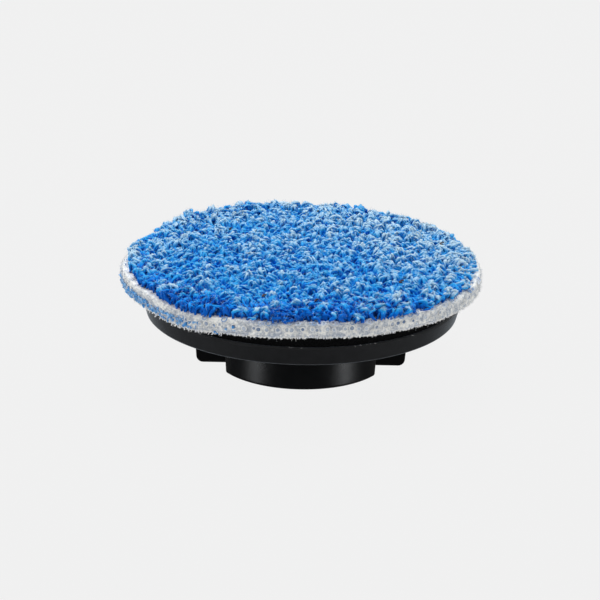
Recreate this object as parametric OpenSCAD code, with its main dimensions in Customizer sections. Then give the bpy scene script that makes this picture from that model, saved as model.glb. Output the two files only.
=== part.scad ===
// Quick-change polishing pad: a microfibre pad on a hook-faced backing plate with a clip-on hub.
// Millimetres. +Z points out of the polishing face, and Z = 0 is the hub's end face, which it rests on.

/* [Microfibre pad] */
// Diameter over the sealed edge of the pad
pad_d = 84.4; // [83:0.2:90]
// Diameter of the blue pile
pile_d = 81.2; // [78:0.2:82]
// Height of the pile above its ground cloth
pile_h = 3.2; // [2:0.1:5]
// Rise of the pad's middle above its edge
crown_h = 0.4; // [0:0.1:1]
// Thickness of the pile's white ground cloth
face_cloth_t = 0.9; // [0.6:0.1:1.4]
// Thickness of the pad's foam core
pad_core_t = 1.4; // [1:0.1:3]
// Thickness of the loop fabric under the pad
loop_backing_t = 1.0; // [0.6:0.1:1.5]

/* [Hook face and cushion] */
// Diameter of the hook disc
hook_d = 72.8; // [70:0.2:73]
// Thickness of the hook disc
hook_t = 1.3; // [1:0.1:2]
// Diameter of the cushion foam
cushion_d = 73.8; // [71:0.2:74.6]
// Thickness of the cushion foam
cushion_t = 2.4; // [1.5:0.1:6]
// Thickness of each adhesive film
film_t = 0.12; // [0.08:0.01:0.2]

/* [Backing plate] */
// Diameter at the plate's upper edge
plate_d = 75; // [75:0.5:80]
// How much narrower the rim is at its lower edge
plate_draft = 2; // [0:0.2:3]
// Height of the rim
rim_h = 4.3; // [4:0.1:6]
// Thickness of the plate's floor
floor_t = 2.2; // [2:0.1:2.6]
// Thickness of the rim's wall
rim_wall = 2.2; // [1.5:0.1:3]
// Number of radial ribs under the plate
rib_count = 12; // [8:1:18]

/* [Hub] */
// Diameter of the hub
hub_d = 41.2; // [40.8:0.1:41.4]
// Width across the hub's two flats
hub_flats = 36; // [36:0.1:36.4]
// Height of the hub below the plate's rim
hub_h = 12.5; // [12.5:0.1:13]
// Thickness of the hub's outer wall
hub_wall = 2; // [1.8:0.1:2.1]

/* [Drive] */
// Diameter of the spindle bore
bore_d = 10; // [9.6:0.1:10.2]
// Width of each of the two keyways in the bore
keyway_w = 3.2; // [2:0.1:3.4]

/* [Release buttons] */
// Span over both finger tabs
tab_span = 50.6; // [49:0.1:52]
// Width of a finger tab
tab_w = 8.8; // [8:0.1:9]
// How far a button travels when it is squeezed
press_travel = 2; // [1.8:0.1:2]
// Thickness of a steel latch plate
latch_t = 1.5; // [1.2:0.1:1.6]
// How far a latch plate reaches over the spindle's groove
latch_bite = 1; // [0.6:0.1:1]

/* [Hidden] */
$fn = 96;

eps = 0.01;
run_gap = 0.2;      // clearance beside a sliding piece
seat_gap = 0.05;    // clearance round a seated piece
edge_r = 0.8;       // moulded edge radius of the hub

// Levels, from the hub's end face upwards
rim_z = hub_h;
plate_top_z = rim_z + rim_h;
floor_z = plate_top_z - floor_t;
foam_film_z = plate_top_z;
cushion_z = foam_film_z + film_t;
hook_film_z = cushion_z + cushion_t;
hook_z = hook_film_z + film_t;
pad_z = hook_z + hook_t;
core_z = pad_z + loop_backing_t;
face_cloth_z = core_z + pad_core_t;
pile_z = face_cloth_z + face_cloth_t;

// Hub
web_t = 2;                                // the hub's end wall under the plate
web_z = floor_z - web_t;
hub_r = hub_d / 2;
flat_x = hub_flats / 2;
hub_draft = 0.7;                          // each flat leans in by this at the end face
cavity_r = hub_r - hub_wall;
cavity_x = flat_x - hub_wall;
cover_z = 0.2;
cover_t = 1.6;
cover_hole_r = 6.5;
boss_r = 2.6;
boss_x = 8;
boss_y = 13.2;
boss_z = cover_z + cover_t;
guide_y = 8.7;                            // inner face of the rails beside the latch plates
guide_t = 1.2;
guide_x = 12;

// Drive insert and the sleeve that holds it
bore_r = bore_d / 2;
insert_r = 7;
insert_z = 6.5;
insert_flange_r = 8.5;
insert_flange_t = 1.2;
insert_key_r = 8.2;
insert_key_w = 3;
keyway_r = bore_r + 1.1;
lead_in = 0.5;
sleeve_r = 9.2;

// Buttons: the tab passes through a slot in the flat, and ears inside keep it there
tab_x = tab_span / 2;
tab_inner_x = cavity_x;
tab_z0 = 0.15;
tab_z1 = 11.9;
tab_corner_r = 1.6;
tab_top_r = 0.6;
slot_w = tab_w + 0.6;
ear_t = 1.6;
ear_w = 12.8;
ear_x0 = cavity_x - seat_gap - ear_t;
ear_z0 = boss_z + run_gap;

// Latch plates, one above the other
latch_z = [2.2, 4.3];
latch_w = 16.8;
latch_far_x = 8;
latch_tail_w = 7.6;
latch_tail_x = 19;
window_r = bore_r + 0.4;
window_x = bore_r - latch_bite - window_r;
window_len = 1.4;

// Return springs
spring_r = 1.8;
spring_wire_r = 0.2;
spring_turns = 5;
spring_z = 9.2;
spring_seat_x = 9.9;
spring_pocket_r = 2.3;
spring_pocket_depth = 1.5;
spring_end_x = ear_x0 + spring_pocket_depth;
spigot_r = 1.2;
spigot_len = 1.5;

// Screws
screw_r = 1.2;
pilot_r = 1.25;
screw_head_r = 2.3;
cover_screw_len = 6;
hub_screw_len = 8;
recess_w = 0.7;
recess_r = 1.3;
recess_depth = 0.6;

// Points along an arc, ends included
function arc(cx, cy, r, a0, a1, n = 8) =
    [for (i = [0:n]) let (a = a0 + (a1 - a0) * i / n) [cx + r * cos(a), cy + r * sin(a)]];

// A disc of the given radius and thickness that stands on level z
module layer(r, z, t) {
    translate([0, 0, z]) cylinder(r = r, h = t);
}

// A disc with a rounded upper edge and a slightly crowned top
module crowned_disc(r, z, t, edge, crown) {
    top = [for (i = [0:10]) let (x = (r - edge) * (1 - i / 10))
        [x, z + t + crown * (1 - pow(x / (r - edge), 2))]];
    rotate_extrude()
        polygon(concat([[0, z], [r, z]], arc(r - edge, z + t - edge, edge, 0, 90), top));
}

// A soft layer whose cut edge is rounded to half its thickness
module soft_layer(r, z, t) {
    e = t / 2 - eps;
    rotate_extrude()
        polygon(concat([[0, z]], arc(r - e, z + e, e, -90, 0), arc(r - e, z + t - e, e, 0, 90), [[0, z + t]]));
}

// Four copies at the hub's boss positions
module at_bosses() {
    for (sx = [-1, 1], sy = [-1, 1])
        translate([sx * boss_x, sy * boss_y, 0]) children();
}

// ---- Microfibre pad -------------------------------------------------------

module pile_face() {
    color("dodgerblue") crowned_disc(pile_d / 2, pile_z, pile_h, 2, crown_h);
}

module face_cloth() {
    color("white") soft_layer(pad_d / 2, face_cloth_z, face_cloth_t);
}

module pad_core() {
    color("whitesmoke") soft_layer(pad_d / 2 - 0.6, core_z, pad_core_t);
}

module loop_backing() {
    color("gainsboro") soft_layer(pad_d / 2, pad_z, loop_backing_t);
}

// ---- Hook face and cushion ------------------------------------------------

module hook_disc() {
    color([0.05, 0.05, 0.05]) layer(hook_d / 2, hook_z, hook_t);
}

module hook_adhesive() {
    color([0.75, 0.72, 0.6]) layer(hook_d / 2 - 0.3, hook_film_z, film_t);
}

module cushion_foam() {
    color([0.08, 0.08, 0.08]) layer(cushion_d / 2, cushion_z, cushion_t);
}

module foam_adhesive() {
    color([0.75, 0.72, 0.6]) layer(cushion_d / 2 - 0.3, foam_film_z, film_t);
}

// ---- Backing plate --------------------------------------------------------

module backing_plate() {
    r_top = plate_d / 2;
    r_low = r_top - plate_draft / 2;
    bevel = 0.3;
    rib_t = 1.5;
    rib_z = rim_z + 0.4;
    ring_r = hub_r + 0.1;
    ring_wall = 1.7;
    mid_r = 29;
    color([0.13, 0.13, 0.14]) difference() {
        union() {
            // rim and floor in one turned outline
            rotate_extrude() polygon([
                [0, floor_z], [r_low - rim_wall, floor_z], [r_low - rim_wall, rim_z],
                [r_low - bevel, rim_z], [r_low, rim_z + bevel],
                [r_top, plate_top_z - bevel], [r_top - bevel, plate_top_z], [0, plate_top_z]
            ]);
            // collar round the hub, and a ring half way to the rim
            translate([0, 0, rib_z]) difference() {
                cylinder(r = ring_r + ring_wall, h = floor_z - rib_z + eps);
                translate([0, 0, -1]) cylinder(r = ring_r, h = rim_h);
            }
            translate([0, 0, rib_z]) difference() {
                cylinder(r = mid_r + rib_t / 2, h = floor_z - rib_z + eps);
                translate([0, 0, -1]) cylinder(r = mid_r - rib_t / 2, h = rim_h);
            }
            for (i = [0:rib_count - 1])
                rotate([0, 0, (i + 0.5) * 360 / rib_count])
                    translate([ring_r + 1, -rib_t / 2, rib_z])
                        cube([r_low - rim_wall - ring_r - 0.5, rib_t, floor_z - rib_z + eps]);
        }
        // countersunk holes for the hub screws
        at_bosses() {
            translate([0, 0, floor_z - 1]) cylinder(r = pilot_r, h = floor_t + 2);
            translate([0, 0, plate_top_z - 1.15])
                cylinder(r1 = pilot_r, r2 = screw_head_r + 0.1, h = 1.15 + eps);
        }
    }
}

// ---- Hub ------------------------------------------------------------------

// The hub's outer form: a round boss with two drafted flats and a rounded end edge
module hub_form() {
    top = floor_z;
    x0 = flat_x - hub_draft;
    intersection() {
        rotate_extrude() polygon(concat(
            [[0, 0]], arc(hub_r - edge_r, edge_r, edge_r, -90, 0), [[hub_r, top], [0, top]]));
        rotate([90, 0, 0]) linear_extrude(height = hub_d + 4, center = true) polygon(concat(
            arc(-x0 + edge_r, edge_r, edge_r, -180, -90), arc(x0 - edge_r, edge_r, edge_r, -90, 0),
            [[flat_x, hub_h], [flat_x, top], [-flat_x, top], [-flat_x, hub_h]]));
    }
}

// The plan of the hub's cavity, smaller by gap all round
module cavity_plan(gap) {
    intersection() {
        circle(r = cavity_r - gap);
        square([2 * (cavity_x - gap), 2 * cavity_r], center = true);
    }
}

module hub_housing() {
    color([0.05, 0.05, 0.06]) difference() {
        union() {
            difference() {
                hub_form();
                translate([0, 0, -1]) linear_extrude(height = web_z + 1) cavity_plan(0);
            }
            at_bosses() translate([0, 0, boss_z]) cylinder(r = boss_r, h = web_z - boss_z + eps);
            // rails that keep the latch plates straight
            for (s = [-1, 1])
                translate([-guide_x, s * (guide_y + guide_t / 2) - guide_t / 2, boss_z])
                    cube([2 * guide_x, guide_t, web_z - boss_z + eps]);
            // sleeve for the drive insert, with a seat for each spring
            translate([0, 0, insert_z - 0.1]) cylinder(r = sleeve_r, h = web_z - insert_z + 0.1 + eps);
            for (s = [-1, 1]) {
                translate([s * (spring_seat_x + sleeve_r - 1) / 2, 0, (insert_z + web_z) / 2 + 0.15])
                    cube([spring_seat_x - sleeve_r + 1, 5.2, web_z - insert_z - 0.3], center = true);
                translate([s * spring_seat_x, 0, spring_z])
                    rotate([0, s * 90, 0]) translate([0, 0, -eps]) cylinder(r = spigot_r, h = spigot_len);
            }
        }
        // seat of the insert: body, two keys and flange
        translate([0, 0, insert_z - 1]) cylinder(r = insert_r + seat_gap, h = floor_z);
        for (a = [45, 225])
            rotate([0, 0, a]) translate([0, -insert_key_w / 2 - seat_gap, insert_z - 1])
                cube([insert_key_r + seat_gap, insert_key_w + 2 * seat_gap, floor_z]);
        translate([0, 0, floor_z - insert_flange_t - seat_gap]) cylinder(r = insert_flange_r + seat_gap, h = web_t);
        // slots for the finger tabs
        for (s = [-1, 1])
            translate([s * (flat_x - hub_wall / 2), 0, tab_z1 / 2 - 0.5 + run_gap / 2])
                cube([hub_wall + 3, slot_w, tab_z1 + 1 + run_gap], center = true);
        at_bosses() cylinder(r = pilot_r, h = floor_z + 1);
    }
}

module drive_insert() {
    flange_z = floor_z - insert_flange_t;
    color("silver") difference() {
        union() {
            translate([0, 0, insert_z]) cylinder(r = insert_r, h = flange_z - insert_z + eps);
            for (a = [45, 225])
                rotate([0, 0, a]) translate([0, -insert_key_w / 2, insert_z])
                    cube([insert_key_r, insert_key_w, flange_z - insert_z + eps]);
            translate([0, 0, flange_z]) cylinder(r = insert_flange_r, h = insert_flange_t - seat_gap);
        }
        translate([0, 0, insert_z - 1]) cylinder(r = bore_r, h = flange_z - insert_z + 1);
        translate([0, 0, insert_z - eps])
            cylinder(r1 = bore_r + lead_in, r2 = bore_r, h = lead_in + eps);
        translate([-keyway_r, -keyway_w / 2, insert_z - 1])
            cube([2 * keyway_r, keyway_w, flange_z - insert_z + 1]);
    }
}

module hub_cover() {
    color([0.09, 0.09, 0.1]) difference() {
        translate([0, 0, cover_z]) linear_extrude(height = cover_t) difference() {
            cavity_plan(0.1);
            circle(r = cover_hole_r);
            // notches that the finger tabs slide into
            for (s = [-1, 1])
                translate([s * (cavity_x - 0.4), 0])
                    square([2 * (press_travel + 0.7), slot_w], center = true);
        }
        translate([0, 0, cover_z - eps]) cylinder(r1 = cover_hole_r + 0.6, r2 = cover_hole_r, h = 0.6);
        at_bosses() {
            cylinder(r = pilot_r, h = 4);
            translate([0, 0, cover_z - eps])
                cylinder(r1 = screw_head_r + 0.1, r2 = pilot_r, h = 1.1);
        }
    }
}

// ---- Release buttons ------------------------------------------------------
// Each is drawn on the -X side. The right one is the same piece turned half round, with its latch plate higher.

module button(latch_level) {
    depth = tab_x - tab_inner_x;
    lean = 0.7;     // the tab's end leans in towards the hub's end face
    side_r = 1;
    color([0.03, 0.03, 0.03]) difference() {
        union() {
            // finger tab: its side outline with round ends, within its plan
            intersection() {
                rotate([90, 0, 0]) linear_extrude(height = tab_w + 2, center = true) polygon(concat(
                    arc(-tab_x + lean + tab_corner_r, tab_z0 + tab_corner_r, tab_corner_r, -180, -90),
                    arc(-tab_inner_x - 0.6, tab_z0 + 0.6, 0.6, -90, 0, 4),
                    [[-tab_inner_x, tab_z1]],
                    arc(-tab_x + tab_top_r, tab_z1 - tab_top_r, tab_top_r, 90, 180, 4)));
                translate([0, 0, tab_z0]) linear_extrude(height = tab_z1 - tab_z0) union() {
                    translate([-tab_x, -tab_w / 2 + side_r]) square([depth, tab_w - 2 * side_r]);
                    translate([-tab_x + side_r, -tab_w / 2]) square([depth - side_r, tab_w]);
                    for (s = [-1, 1])
                        translate([-tab_x + side_r, s * (tab_w / 2 - side_r)]) circle(r = side_r);
                }
            }
            // ears inside the hub's wall
            translate([-ear_x0 - ear_t, -ear_w / 2, ear_z0]) cube([ear_t, ear_w, tab_z1 - ear_z0]);
            translate([-tab_inner_x - eps, -tab_w / 2, ear_z0])
                cube([seat_gap + 0.1, tab_w, tab_z1 - ear_z0]);
        }
        // pocket for the spring, and slot for the tail of the latch plate
        translate([-spring_end_x, 0, spring_z]) rotate([0, 90, 0])
            cylinder(r = spring_pocket_r, h = spring_pocket_depth + 1);
        translate([-latch_tail_x - seat_gap, -latch_tail_w / 2 - seat_gap, latch_level - seat_gap])
            cube([latch_tail_x, latch_tail_w + 2 * seat_gap, latch_t + 2 * seat_gap]);
    }
}

module latch_plate(level) {
    neck_x = ear_x0 - run_gap;
    color("lightgray") translate([0, 0, level]) linear_extrude(height = latch_t) difference() {
        union() {
            translate([-neck_x, -latch_w / 2]) square([neck_x + latch_far_x - 2, latch_w]);
            translate([0, -latch_w / 2 + 2]) square([latch_far_x, latch_w - 4]);
            for (s = [-1, 1])
                translate([latch_far_x - 2, s * (latch_w / 2 - 2)]) circle(r = 2);
            translate([-latch_tail_x, -latch_tail_w / 2]) square([latch_tail_x - neck_x + 1, latch_tail_w]);
        }
        // window for the spindle, longer than wide by the travel
        for (x = [window_x, window_x - window_len]) translate([x, 0]) circle(r = window_r);
        translate([window_x - window_len, -window_r]) square([window_len, 2 * window_r]);
    }
}

module left_button() {
    button(latch_z[0]);
}

module right_button() {
    rotate([0, 0, 180]) button(latch_z[1]);
}

module left_latch_plate() {
    latch_plate(latch_z[0]);
}

module right_latch_plate() {
    rotate([0, 0, 180]) latch_plate(latch_z[1]);
}

// A compression spring along X, as a wire swept round a helix
module return_spring() {
    steps = 14 * spring_turns;
    sides = 8;
    span = spring_end_x - spring_seat_x - 2 * seat_gap - 2 * spring_wire_r;
    start = spring_seat_x + seat_gap + spring_wire_r;
    rings = [for (i = [0:steps]) let (a = 360 * spring_turns * i / steps, x = start + span * i / steps)
        for (k = [0:sides - 1]) let (b = 360 * k / sides, r = spring_r + spring_wire_r * cos(b))
            [-x - spring_wire_r * sin(b), r * cos(a), spring_z + r * sin(a)]];
    walls = [for (i = [0:steps - 1], k = [0:sides - 1]) let (n = (k + 1) % sides)
        [i * sides + k, i * sides + n, (i + 1) * sides + n, (i + 1) * sides + k]];
    caps = [[for (k = [sides - 1:-1:0]) k], [for (k = [0:sides - 1]) steps * sides + k]];
    color("silver") polyhedron(points = rings, faces = concat(walls, caps), convexity = 6);
}

module left_spring() {
    return_spring();
}

module right_spring() {
    rotate([0, 0, 180]) return_spring();
}

// ---- Screws ---------------------------------------------------------------

// A countersunk screw with its head's face at z = 0 and its point below
module screw(length) {
    head_h = screw_head_r - screw_r;
    difference() {
        union() {
            translate([0, 0, -head_h]) cylinder(r1 = screw_r, r2 = screw_head_r, h = head_h);
            translate([0, 0, -length + screw_r]) cylinder(r = screw_r, h = length - screw_r - head_h + eps);
            translate([0, 0, -length]) cylinder(r1 = 0.3, r2 = screw_r, h = screw_r + eps);
        }
        for (a = [0, 90])
            rotate([0, 0, a]) translate([-recess_r, -recess_w / 2, -recess_depth])
                cube([2 * recess_r, recess_w, recess_depth + 1]);
    }
}

module hub_screws() {
    color("gray") at_bosses() translate([0, 0, plate_top_z - 0.02]) screw(hub_screw_len);
}

module cover_screws() {
    color("gray") at_bosses() translate([0, 0, cover_z + 0.02]) mirror([0, 0, 1]) screw(cover_screw_len);
}

pile_face();
face_cloth();
pad_core();
loop_backing();
hook_disc();
hook_adhesive();
cushion_foam();
foam_adhesive();
backing_plate();
hub_housing();
drive_insert();
hub_cover();
left_button();
right_button();
left_latch_plate();
right_latch_plate();
left_spring();
right_spring();
hub_screws();
cover_screws();
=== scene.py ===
"""Looks of the quick-change polishing pad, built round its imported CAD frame. Lengths are in metres."""
import math

import bpy
import numpy as np
from mathutils import Matrix, Vector, kdtree, noise


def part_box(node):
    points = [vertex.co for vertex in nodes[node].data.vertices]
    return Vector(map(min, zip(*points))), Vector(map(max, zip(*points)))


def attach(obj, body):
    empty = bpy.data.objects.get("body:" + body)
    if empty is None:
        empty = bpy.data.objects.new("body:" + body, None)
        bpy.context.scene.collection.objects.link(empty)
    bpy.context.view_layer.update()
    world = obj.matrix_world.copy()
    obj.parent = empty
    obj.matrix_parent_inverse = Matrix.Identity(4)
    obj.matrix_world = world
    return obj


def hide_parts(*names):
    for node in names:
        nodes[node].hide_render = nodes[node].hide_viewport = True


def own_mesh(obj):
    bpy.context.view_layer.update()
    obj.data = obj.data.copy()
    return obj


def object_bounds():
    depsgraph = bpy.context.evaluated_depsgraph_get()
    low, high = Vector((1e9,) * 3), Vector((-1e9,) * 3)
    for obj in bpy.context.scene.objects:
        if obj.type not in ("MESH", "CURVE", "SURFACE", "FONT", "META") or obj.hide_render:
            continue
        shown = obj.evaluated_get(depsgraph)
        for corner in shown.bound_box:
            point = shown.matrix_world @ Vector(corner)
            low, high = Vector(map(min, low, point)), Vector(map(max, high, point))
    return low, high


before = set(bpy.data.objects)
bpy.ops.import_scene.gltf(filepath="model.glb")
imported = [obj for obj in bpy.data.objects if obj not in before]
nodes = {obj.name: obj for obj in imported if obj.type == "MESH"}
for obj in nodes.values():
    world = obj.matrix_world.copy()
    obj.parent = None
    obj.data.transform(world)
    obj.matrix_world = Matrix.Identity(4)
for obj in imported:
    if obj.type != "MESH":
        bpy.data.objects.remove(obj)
cad_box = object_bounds()
rng = np.random.default_rng(11)

MM = 0.001
TURN = 2 * math.pi
FRONT = 1.5 * math.pi       # azimuths run from +X, so the camera's side is at three quarters of a turn
LEFT = math.pi
RIGHT = 2 * math.pi

# Levels and radii that the pieces are built to, from the frame
cloth_low, cloth_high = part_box("face_cloth")
core_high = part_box("pad_core")[1]
loop_low, loop_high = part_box("loop_backing")
pile_low, pile_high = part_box("pile_face")
hook_low, hook_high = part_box("hook_disc")
plate_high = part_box("backing_plate")[1]
PAD_R = cloth_high.x - 0.4 * MM         # its felted edge stands about that far out
PILE_R = pile_high.x - 0.6 * MM
HOOK_R = hook_high.x
PILE_Z = pile_low.z
PILE_H = 3.2 * MM
FOOT_Z = PILE_Z + 0.3 * MM              # where the feet of the loops stand in the ground


# ---- Meshes ----------------------------------------------------------------

def add_object(name, vertices, faces):
    """A smooth mesh object from arrays of points and faces."""
    mesh = bpy.data.meshes.new(name)
    mesh.from_pydata(np.asarray(vertices).tolist(), [], faces)
    mesh.polygons.foreach_set("use_smooth", [True] * len(mesh.polygons))
    mesh.update()
    made = bpy.data.objects.new(name, mesh)
    bpy.context.scene.collection.objects.link(made)
    return made


def add_attribute(obj, name, values):
    """A number at each point, which the piece's material reads."""
    layer = obj.data.attributes.new(name, "FLOAT", "POINT")
    layer.data.foreach_set("value", np.asarray(values, np.float32).ravel())


def unit(vectors):
    """Each vector at a length of 1."""
    length = np.linalg.norm(vectors, axis=-1, keepdims=True)
    return vectors / np.maximum(length, 1e-9)


def add_strands(name, lines, radii, sides, plane, shade=None, reach=None, flatness=1.0, spin=0.0):
    """Many closed strands as one mesh: lines is (strands, points, 3), and radii has one number a point.

    plane is a vector across each strand, shade a number for each strand, and reach how far up the pile
    each point is. A flatness under 1 makes the section an oval, which turns by spin radians a point.
    """
    strands, points = lines.shape[:2]
    along = unit(np.gradient(lines, axis=1))
    across = unit(np.cross(along, plane[:, None, :]))
    over = np.cross(along, across)
    angle = TURN * np.arange(sides) / sides
    wide, thin = np.cos(angle), flatness * np.sin(angle)
    turned = (np.full(strands, spin)[:, None] * np.arange(points))[:, :, None]
    x = wide * np.cos(turned) - thin * np.sin(turned)
    y = wide * np.sin(turned) + thin * np.cos(turned)
    ring = x[..., None] * across[:, :, None, :] + y[..., None] * over[:, :, None, :]
    vertices = (lines[:, :, None, :] + radii[:, :, None, None] * ring).reshape(-1, 3)
    here = np.arange(sides)
    beyond = (here + 1) % sides
    start = (np.arange(strands)[:, None] * points + np.arange(points - 1)) * sides
    corners = np.stack([here, beyond, beyond + sides, here + sides], axis=1)
    walls = (start.reshape(-1, 1, 1) + corners).reshape(-1, 4).tolist()
    first = np.arange(strands)[:, None] * points * sides
    caps = (first + here[::-1]).tolist() + (first + (points - 1) * sides + here).tolist()
    made = add_object(name, vertices, walls + caps)
    if shade is not None:
        add_attribute(made, "shade", np.repeat(shade, points * sides))
    if reach is not None:
        add_attribute(made, "reach", np.repeat(reach.reshape(-1), sides))
    return made


def polar(radius, around, level):
    """Points from arrays of radius, azimuth and level."""
    radius, around, level = np.broadcast_arrays(radius, around, level)
    return np.stack([radius * np.cos(around), radius * np.sin(around), level], axis=-1)


def radius_and_azimuth(points):
    """How far each point is from the axis, and which way."""
    return np.hypot(points[:, 0], points[:, 1]), np.arctan2(points[:, 1], points[:, 0])


def add_turned(name, outline, segments, relief=None):
    """A closed round piece from an outline of (radius, level) that starts and ends on the axis.

    relief(points) moves the points, given as an array, before they become a mesh.
    """
    outline = np.asarray(outline, float)
    around = TURN * np.arange(segments) / segments
    body = outline[1:-1]
    points = polar(body[:, :1], around, body[:, 1:]).reshape(-1, 3)
    ends = np.array([[0, 0, outline[0, 1]], [0, 0, outline[-1, 1]]])
    vertices = np.concatenate([points, ends])
    if relief is not None:
        vertices = relief(vertices)
    here = np.arange(segments)
    beyond = (here + 1) % segments
    faces = []
    for row in range(len(body) - 1):
        low, high = row * segments, (row + 1) * segments
        faces += np.stack([low + here, low + beyond, high + beyond, high + here], axis=1).tolist()
    foot, head = len(points), len(points) + 1
    last = (len(body) - 1) * segments
    faces += [[foot, int(two), int(one)] for one, two in zip(here, beyond)]
    faces += [[head, int(last + one), int(last + two)] for one, two in zip(here, beyond)]
    return add_object(name, vertices, faces)


def rounded_disc(radius, low, high, steps=10):
    """The outline of a disc with a half-round edge, from axis to axis, with finer steps near the edge."""
    half = (high - low) / 2
    middle = (high + low) / 2
    bend = [(radius - half + half * math.cos(angle), middle + half * math.sin(angle))
            for angle in np.linspace(-math.pi / 2, math.pi / 2, steps)]
    flat = (radius - half) * np.concatenate([np.linspace(0, 0.85, 5)[:-1], np.linspace(0.85, 1, 16)[:-1]])
    return [(x, low) for x in flat] + bend + [(x, high) for x in flat[::-1]]


def grain(points, size, seed=0.0):
    """Smooth random numbers of about -1 to 1 at each point, with hills of the given size."""
    shift = Vector((seed, seed * 1.7, -seed))
    return np.array([noise.noise(Vector(p) / size + shift) for p in points])


def finish_piece(piece, material, body, slot, *replaced):
    """The calls that each new piece needs: its material, the body it rides on, and hiding the CAD parts it
    replaces. slot is not used.
    """
    piece.data.materials.append(material)
    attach(piece, body)
    if replaced:
        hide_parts(*replaced)
    return piece


# ---- The pad's own shape ---------------------------------------------------

PAD_SHIFT = np.array([-0.3, -0.9, 0]) * MM      # the pad isn't stuck quite in the middle of the plate
PILE_SHIFT = np.array([-0.2, -0.1, 0]) * MM     # nor is the pile quite in the middle of its cloth
SUPPORT_R = HOOK_R - 3 * MM                     # inside this the pad lies flat on the hooks


def lobe(around, middle, width):
    """A smooth hump of height 1 round an azimuth."""
    gap = (around - middle + math.pi) % TURN - math.pi
    return np.exp(-(gap / width) ** 2)


def drape(points):
    """Moves points of the pad as it lies.

    Its edge curls up at the back left, lifts a little at the front, droops at the left, the front left and
    the back right, and waves all round.
    """
    points = np.array(points, float)
    flat = points.reshape(-1, 3)
    radius, around = radius_and_azimuth(flat)
    out = np.clip((radius - SUPPORT_R) / (PAD_R - SUPPORT_R), 0, 1.1) ** 1.6
    edge = (0.3 * lobe(around, LEFT, 0.25)
            + 1.1 * lobe(around, LEFT - 0.95, 0.35)
            - 1.7 * lobe(around, LEFT - 0.25, 0.22)
            - 0.9 * lobe(around, LEFT + 0.95, 0.28)
            + 0.35 * lobe(around, FRONT, 0.5)
            - 0.3 * lobe(around, FRONT - 0.17, 0.14)
            - 0.8 * lobe(around, RIGHT + 0.5, 0.45)
            + 0.08 * np.sin(7 * around + 1.0) + 0.06 * np.sin(13 * around + 2.2))
    flat[:, 2] += out * edge * MM
    return flat.reshape(points.shape) + PAD_SHIFT


# ---- Materials -------------------------------------------------------------

class Paint:
    """A node material with one Principled shader."""

    def __init__(self, name, roughness=0.6, specular=0.3, metallic=0.0):
        self.material = bpy.data.materials.new(name)
        self.material.use_nodes = True
        self.tree = self.material.node_tree
        self.shader = self.tree.nodes["Principled BSDF"]
        self.shader.inputs["Roughness"].default_value = roughness
        self.shader.inputs["Specular IOR Level"].default_value = specular
        self.shader.inputs["Metallic"].default_value = metallic

    def add(self, kind, *links, **settings):
        """A node of a kind, with links of (input, output that feeds it), and settings of it or its inputs."""
        made = self.tree.nodes.new("ShaderNode" + kind)
        for key, value in settings.items():
            if hasattr(made, key):
                setattr(made, key, value)
            else:
                made.inputs[key].default_value = value
        for socket, source in links:
            self.tree.links.new(made.inputs[socket], source)
        return made

    def place(self):
        """The point's place on the object."""
        return self.add("TexCoord").outputs["Object"]

    def facing_up(self):
        """How far the surface faces up the pad's own axis, from -1 to 1."""
        return self.add("SeparateXYZ", ("Vector", self.add("TexCoord").outputs["Normal"])).outputs["Z"]

    def noise(self, size, detail=3.0, roughness=0.6):
        """Noise with features of the given size."""
        made = self.add("TexNoise", ("Vector", self.place()), Scale=1 / size, Detail=detail,
                        Roughness=roughness)
        return made.outputs["Fac"]

    def attribute(self, name):
        """A number that the mesh has at each point."""
        return self.add("Attribute", attribute_name=name).outputs["Fac"]

    def ramp(self, source, stops):
        """A colour for each value of source, from stops of (position, colour)."""
        made = self.add("ValToRGB", ("Fac", source))
        elements = made.color_ramp.elements
        while len(elements) < len(stops):
            elements.new(0.5)
        for element, (position, colour) in zip(elements, stops):
            element.position = position
            element.color = (*colour, 1)
        return made.outputs["Color"]

    def math(self, operation, first, second):
        """One sum, of two outputs or numbers."""
        made = self.add("Math", operation=operation)
        for socket, value in zip(made.inputs, (first, second)):
            if isinstance(value, (int, float)):
                socket.default_value = value
            else:
                self.tree.links.new(socket, value)
        return made.outputs["Value"]

    def weigh(self, start, *terms):
        """start plus each (output, weight, zero) as weight times the output's distance from zero."""
        total = start
        for source, weight, zero in terms:
            distance = self.math("SUBTRACT", source, zero)
            total = self.math("ADD", self.math("MULTIPLY", distance, weight), total)
        return total

    def mix(self, share, under, over):
        """The colour over laid on the colour under, by share."""
        made = self.add("Mix", data_type="RGBA")
        inputs = made.inputs[0], made.inputs[6], made.inputs[7]     # its factor and its two colours
        for socket, value in zip(inputs, (share, under, over)):
            if isinstance(value, tuple):
                socket.default_value = (*value, 1)
            else:
                self.tree.links.new(socket, value)
        return made.outputs[2]

    def set(self, socket, source):
        """Feeds an input of the shader."""
        self.tree.links.new(self.shader.inputs[socket], source)

    def bump(self, source, depth, strength=1.0, under=None):
        """The normal with hills where source is high, on top of the normal under."""
        made = self.add("Bump", ("Height", source), Strength=strength, Distance=depth)
        if under is not None:
            self.tree.links.new(made.inputs["Normal"], under)
        return made.outputs["Normal"]

    def softened(self, radius):
        """The normal with its edges rounded off, as a mould leaves them."""
        return self.add("Bevel", samples=6, Radius=radius).outputs["Normal"]


def grey(value):
    """A slightly cool grey."""
    return (value, value * 1.06, value * 1.25)


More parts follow.
